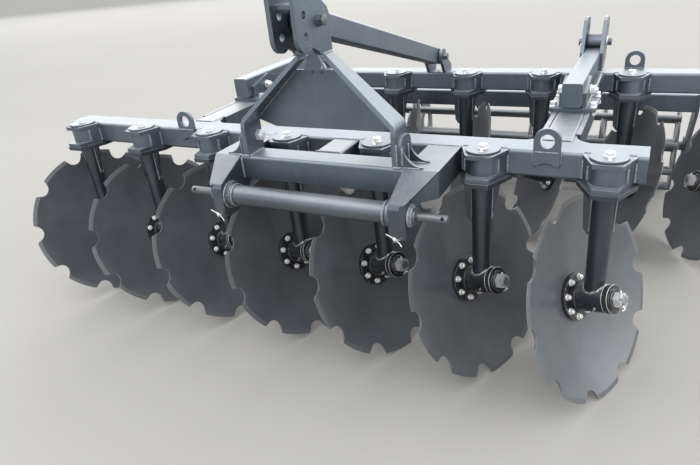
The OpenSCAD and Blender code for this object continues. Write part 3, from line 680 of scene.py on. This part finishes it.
def leg_welds():
    """Saddle weld and grease nipple of each barrel, and the beads of the fins and flange."""
    bare = Piece("barrel_welds")
    painted = Piece("leg_welds")
    nipple = [(3.6, 0.0), (3.6, 3.0), (2.2, 4.0), (2.2, 7.0), (3.0, 8.5), (1.2, 10.0)]
    for index, (x, y) in enumerate(MOUNTS):
        turn, origin = hub_frame(1 if index < PER_ROW else -1, x, y)
        axis = turn.to_3x3() @ Vector((0.0, 0.0, 1.0))
        hub_z = origin.z * 1000.0
        bare.bead(saddle(x, y, hub_z, axis), 3.6)
        for face in (y - 5.4, y + 5.4):
            painted.bead([(x - 28.0, face, 574.0), (x - 27.5, face, 462.0)], 2.4)
            painted.bead([(x + 28.5, face, 574.0), (x + 27.5, face, 470.0)], 2.4)
        painted.bead(circle(x, y, 577.0, 30.5, (0, 0, 1)), 3.0)
        around = aimed(x, y, hub_z, axis) @ Matrix.Rotation(math.radians(200.0), 4, "Z")
        outward = Matrix.Rotation(math.pi / 2, 4, "Y")
        bare.lathe(nipple, around @ moved(36.5, 0.0, 20.0) @ outward, 12)
    bare.finish(SILVER_WELD, "frame", "frame_paint")
    painted.finish(WELD, "frame", "frame_paint")


def mount_welds():
    """Beads round the housings, cheeks and cap plates of the leg mounts."""
    piece = Piece("mount_welds")
    for x, y in MOUNTS:
        for z in (BEAM_LOW + 13.5, BEAM_TOP - 13.0):
            piece.bead(circle(x, y, z, HOUSING_R, (0, 0, 1), 205.0, 335.0, 30), 2.8)
        low, high, back = BEAM_TOP + 0.3, BEAM_TOP + 0.4, BEAM_TOP + 0.5
        for s in (-1, 1):
            wall, cheek, rim = x + s * 44.0, x + s * 59.5, x + s * 60.5
            piece.bead([(wall, y - 15.0, 606.0), (wall, y - 15.0, 645.0)], 2.6)
            piece.bead([(cheek, y + 19.0, 594.0), (cheek, y + 19.0, 646.0)], 3.0)
            piece.bead([(x + s * 33.0, y - 49.0, low), (rim, y + 19.5, low)], 2.0)
            piece.bead([(rim, y + 20.0, high), (rim, y + 29.0, high)], 2.2)
        piece.bead([(x - 60.0, y + 28.5, back), (x + 60.0, y + 28.5, back)], 2.2)
    piece.finish(WELD, "frame", "frame_paint")


def bracket_beads(piece, s):
    """One hitch bracket on the two beams, with the rings of the shaft and of its nose."""
    inner = HITCH_X + s * 247.0
    fold = inner - s * 1.5
    root = inner - s * 1.0
    heel = inner + s * 88.0
    piece.bead([(inner, -190.0, BEAM_TOP), (inner, -118.0, BEAM_TOP)], 3.2)
    piece.bead([(fold, -194.5, 655.0), (fold, -194.5, 594.0)], 3.6)
    piece.bead([(inner, -110.0, 598.0), (inner, -2.0, 598.0)], 3.0)
    piece.bead([(root, -2.0, 657.0), (root, -2.0, 596.0)], 3.2)
    piece.bead([(inner, 0.5, 659.5), (inner + s * 90.0, 0.5, 659.5)], 3.0)
    piece.bead([(heel, -1.5, 650.0), (heel, -1.5, 596.0)], 3.0)
    for radius, inward in ((36.5, 0.5), (30.5, 20.5), (29.5, 12.5)):
        piece.bead(circle(inner - s * inward, SHAFT_Y, SHAFT_Z, radius, (1, 0, 0)), 2.6)
    for out, radius, thick in ((290.0, 25.5, 4.6), (296.0, 21.5, 3.4)):
        ring = circle(HITCH_X + s * out, SHAFT_Y, SHAFT_Z, radius, (1, 0, 0))
        piece.bead(ring, thick, ripple=7.0)


def mast_beads(piece, s):
    """One side of the mast: foot plate, its gussets, the bar and the upper link plate."""
    outer = HITCH_X + s * 243.0
    inner = HITCH_X + s * 217.0
    bar = HITCH_X + s * MAST_FOOT
    top = HITCH_X + s * 39.5
    plate = HITCH_X + s * 26.0
    piece.bead([(outer, -188.0, BEAM_TOP + 1.0), (outer, -118.0, BEAM_TOP + 1.0)], 3.4)
    piece.bead([(inner, -190.0, BEAM_TOP + 1.0), (inner, -118.0, BEAM_TOP + 1.0)], 3.0)
    piece.bead([(inner + s, -194.0, BEAM_TOP + 1.5), (outer, -191.0, BEAM_TOP + 1.5)], 3.4)
    for y in (-186.8, -177.0, -142.8, -133.0):
        piece.bead([(outer, y, 664.0), (outer, y, 712.0)], 3.0)
        piece.bead([(outer, y, BEAM_TOP + 1.0), (outer + s * 46.0, y, BEAM_TOP + 1.0)], 2.4)
    for y in (-191.0, -116.5):
        piece.bead([(bar, y, 664.0), (bar, y, 722.0)], 2.4)
    piece.bead([(top, -160.0, 932.5), (top, -114.0, 932.5)], 3.2)
    piece.bead([(top, -160.0, 917.0), (top, -118.0, 917.0)], 3.2)
    shield = [(HITCH_X + s * 212.0, -117.5, 758.0), (HITCH_X + s * 74.0, -117.5, 883.0)]
    piece.bead(shield, 2.2)
    piece.bead([(plate, -182.0, 935.0), (plate, -126.0, 935.0)], 2.4)
    piece.bead([(plate, -248.0, 1047.0), (plate, -198.0, 1047.0)], 2.4)


def eye_beads(piece, dark, s):
    """The front and rear lifting eyes of one side, and the tab below the front one, with near-black
    beads under the tab as painted shadow.
    """
    x = FRAME_X + s * EYE_FRONT
    for y in (-10.8, 0.8):
        piece.bead([(x - 31.0, y, BEAM_TOP + 1.0), (x + 31.0, y, BEAM_TOP + 1.0)], 2.4)
    for t in (-1, 1):
        piece.bead([(x + t * 34.0, -2.5, 656.0), (x + t * 34.0, -2.5, 626.0)], 2.6)
        # Near-black bead: painted shadow under the tab.
        dark.bead([(x + t * 33.0, -4.0, 622.6), (x + t * 21.0, -4.0, 622.6)], 3.4)
    dark.bead(circle(x, -4.0, 596.0, 34.0, (0, -1, 0), 52.0, 128.0, 16), 3.2)
    x = FRAME_X + s * EYE_REAR
    back = ROW_GAP + BEAM_D
    for y in (back - 0.8, back + 10.8):
        piece.bead([(x - 31.0, y, BEAM_TOP + 1.0), (x + 31.0, y, BEAM_TOP + 1.0)], 2.4)


def hitch_welds():
    """Beads of the hitch beam, brackets, shaft rings, mast and lifting eyes."""
    piece = Piece("hitch_welds")
    dark = Piece("eye_tab_shadow_beads")
    for s in (-1, 1):
        bracket_beads(piece, s)
        mast_beads(piece, s)
    for y in (-0.5, -113.5):
        piece.bead([(HITCH_X - 47.0, y, BEAM_TOP + 0.8), (HITCH_X + 31.0, y, BEAM_TOP + 0.8)], 2.6)
    for s in (-1, 1):
        eye_beads(piece, dark, s)
    piece.finish(WELD, "frame", "frame_paint")
    dark.finish(TAB_SHADOW_WELD, "frame", "frame_paint")


def slope_plates():
    """Skin plate over the slope of each hitch bracket, from the beam's corner to the nose."""
    piece = Piece("slope_plates")
    head, nose, drop = -191.5, -297.0, 48.0
    corners = [(248.5, head), (336.6, head), (288.6, nose), (248.5, nose)]
    for s in (-1, 1):
        rings = []
        for inset, lift in ((0.0, -4.0), (0.0, 0.2), (0.5, 0.8)):
            ring = []
            for x, y in corners:
                x += inset if x < 270.0 else -inset
                y += -inset if y == head else inset
                z = BEAM_TOP - (head - y) / 106.0 * drop
                ring.append((HITCH_X + s * x, y - lift * 0.41, z + lift * 0.91))
            rings.append(ring)
        piece.skin(rings)
    piece.finish(SHADED_BRACKET_PAINT, "frame", "frame_paint", 20.0)


def frame_welds():
    """Beads of the long members, roller arms and the brace clevis."""
    piece = Piece("frame_welds")
    for s in (-1, 1):
        x = FRAME_X + s * MEMBER
        for y in (BEAM_D + 1.0, ROW_GAP - 1.0):
            piece.bead([(x - 36.0, y, BEAM_TOP + 0.2), (x + 36.0, y, BEAM_TOP + 0.2)], 2.0)
            for t in (-1, 1):
                piece.bead([(x + t * 41.0, y, 652.0), (x + t * 41.0, y, 596.0)], 3.0)
        for t in (-1, 1):
            foot, rib = x + t * 38.8, x + t * 29.0
            piece.bead([(foot, 360.0, 672.8), (foot, 512.0, 672.8)], 2.6)
            piece.bead([(rib, 360.0, 712.0), (rib, 462.0, 740.0)], 2.4)
            for inset, y in ((27.5, 802.0), (25.5, 874.0)):
                piece.bead([(x + t * inset, y, 684.0), (x + t * inset, y, 742.0)], 2.6)
    for s in (-1, 1):
        for out in (33.0, 7.0):
            x = BRACE_X + s * out
            piece.bead([(x, 875.0, BEAM_TOP + 1.0), (x, 950.0, BEAM_TOP + 1.0)], 2.4)
    piece.finish(WELD, "frame", "frame_paint")


def frame_bolts():
    """Plated bolts of the roller arms, swing pins and mast feet."""
    piece = Piece("frame_bolts")
    for s in (-1, 1):
        x = FRAME_X + s * MEMBER
        for t in (-1, 1):
            for y in (376.0, 500.0):
                over = upright(x + t * 55.0, y, 672.0, any_turn())
                piece.bolt(18.0, over, height=11.5, washer=11.5)
                under = aimed(x + t * 58.0, y, 660.0, (0, 0, -1), any_turn())
                piece.bolt(17.0, under, height=10.0, stud=5.0)
            cross = aimed(x + t * 38.0, 446.0, 706.0, (t, 0, 0), any_turn())
            piece.bolt(24.0, cross, height=13.0, washer=15.0, stud=7.0 if t > 0 else 0.0)
            piece.washer(19.0, 3.0, aimed(x + t * 38.0, SWING_Y, SWING_Z, (t, 0, 0)))
        # linch pin through the end of the swing pin
        end = x - 47.0
        ring = circle(end, SWING_Y, SWING_Z - 14.0, 15.0, (1, 0, 0), 0.0, 330.0, 24)
        piece.tube(ring, 1.8, count=7)
        shank = [(end, SWING_Y, SWING_Z + 18.0), (end, SWING_Y, SWING_Z - 18.0)]
        piece.tube(shank, 3.2, count=10)
        foot = aimed(HITCH_X + s * 218.0, -134.0, 705.0, (-s, 0, 0), 12.0)
        piece.bolt(26.0 if s > 0 else 30.0, foot, height=14.0, stud=4.0)
    piece.finish(ZINC, "frame", "zinc_plate")


def mast_bolts():
    """Dull bolts of the mast plates, the shield and the brace."""
    piece = Piece("brace_bolts")
    for s in (-1, 1):
        mast = aimed(HITCH_X + s * 39.0, -166.0, 1011.0, (s, 0, 0), 20.0)
        shield = aimed(HITCH_X - 12.5 + s * 13.5, -117.0, 877.0, (0, -1, 0), 10.0)
        brace = aimed(BRACE_X + s * 39.0, 855.0, 728.0, (s, 0, 0), 20.0)
        piece.bolt(24.0, mast, height=14.0, washer=14.5)
        piece.bolt(6.8, shield, height=3.5)
        piece.bolt(24.0, brace, height=14.0, washer=14.5)
    piece.finish(PIN, "frame", "zinc_plate")


def nose_pins():
    """Locking pin with its cotter below each bracket nose, and the small bolt beside it."""
    cotters = Piece("nose_cotters")
    locks = Piece("nose_lock_pins")
    for middle in (HITCH_X - NOSE_X, HITCH_X + NOSE_X):
        x = middle - 5.0
        place = aimed(x, -292.0, 530.0, (0.0, -0.62, -0.78))
        locks.lathe([(6.0, 0.0), (6.0, 20.0), (4.8, 21.4), (0.8, 21.4)], place, 18)
        locks.bolt(9.0, aimed(middle + 12.0, -304.0, 529.0, (0, -1, 0), 15.0), height=4.5)
        wire = [(x - 22.0, -307.0, 536.0), (x - 9.0, -305.0, 529.0), (x + 3.0, -305.0, 523.0)]
        wire += [(x + 12.0, -306.0, 515.0), (x + 18.0, -307.0, 507.0)]
        cotters.tube(wire, 1.3)
        short = [(x + 3.0, -304.0, 524.0), (x + 9.0, -301.0, 521.0), (x + 14.0, -299.0, 521.5)]
        cotters.tube(short, 1.2)
        head = circle(x - 1.0, -305.0, 524.5, 3.2, (0.2, -0.9, 0.4), 0.0, 340.0, 18)
        cotters.tube(head, 1.2)
    cotters.finish(ZINC, "frame", "zinc_plate")
    locks.finish(PIN, "frame", "zinc_plate")


def roller_hardware():
    """Flange bolts of the roller bearings and the two bolts of each cheek."""
    piece = Piece("bearing_bolts")
    for s in (-1, 1):
        face = FRAME_X + s * CHEEK_FACE
        for k in range(4):
            a = math.radians(45.0 + 90.0 * k)
            y = ROLLER_Y + 38.0 * math.cos(a)
            z = ROLLER_Z + 38.0 * math.sin(a)
            piece.bolt(13.0, aimed(face + s * 20.0, y, z, (s, 0, 0), 20.0 * k), height=7.0)
        for y in (1150.0, 1200.0):
            cheek = aimed(face, y, 485.0, (s, 0, 0), 10.0)
            piece.bolt(18.0, cheek, height=10.0, washer=12.0)
    piece.finish(ZINC, "roller_carrier", "zinc_plate")


def drum_welds():
    """Beads round the inner half of each bar, where it sits on the support plates."""
    piece = Piece("drum_welds")
    reach = 14.8  # just outside the bar's own radius
    for k in range(7):
        plate = FRAME_X - 921.0 + k * 307.0
        for b in range(BARS):
            a = 2 * math.pi * b / BARS
            y = ROLLER_Y + BAR_CIRCLE * math.sin(a)
            z = ROLLER_Z + BAR_CIRCLE * math.cos(a)
            half = [a + math.radians(90.0 + 22.5 * j) for j in range(9)]
            for x in (plate - 4.6, plate + 4.6):
                arc = [(x, y + reach * math.sin(u), z + reach * math.cos(u)) for u in half]
                piece.bead(arc, 2.2)
    piece.finish(WELD, "roller", "roller_paint")


mount_hardware()
for i in range(PER_ROW):
    hub_hardware("f%d" % (i + 1), 1, FRONT_X[i], LEG_Y[0])
    hub_hardware("r%d" % (i + 1), -1, REAR_X[i], LEG_Y[1])
leg_welds()
mount_welds()
hitch_welds()
frame_welds()
frame_bolts()
mast_bolts()
nose_pins()
slope_plates()
roller_hardware()
drum_welds()


def panel(name, place, aim, size, power):
    """Soft area light at a place in metres, turned to a point on the machine."""
    data = bpy.data.lights.new(name, "AREA")
    data.shape = "RECTANGLE"
    data.size, data.size_y = size
    data.energy = power
    light = bpy.data.objects.new(name, data)
    light.location = place
    light.rotation_euler = (Vector(aim) - Vector(place)).to_track_quat("-Z", "Y").to_euler()
    bpy.context.scene.collection.objects.link(light)


def make_studio():
    """Plain floor, even sky and three large soft lights."""
    bpy.ops.mesh.primitive_plane_add(size=120.0)
    floor = bpy.context.object
    floor.name = "floor"
    floor.data.materials.append(floor_finish())
    world = bpy.data.worlds.new("studio")
    bpy.context.scene.world = world
    world.use_nodes = True
    sky = world.node_tree.nodes["Background"].inputs
    sky["Color"].default_value = (0.96, 0.98, 1.0, 1.0)
    sky["Strength"].default_value = 1.6
    panel("back_panel", (-5.3, 13.0, 7.6), (0.0, 0.0, 0.6), (31.0, 12.4), 2750.0)
    panel("right_panel", (9.5, 1.6, 4.0), (0.0, -0.5, 0.3), (9.0, 5.4), 560.0)
    panel("top_panel", (-1.6, -3.0, 5.6), (0.1, -0.7, 0.5), (7.0, 5.0), 230.0)
    bpy.context.scene.view_settings.view_transform = "Standard"


make_studio()
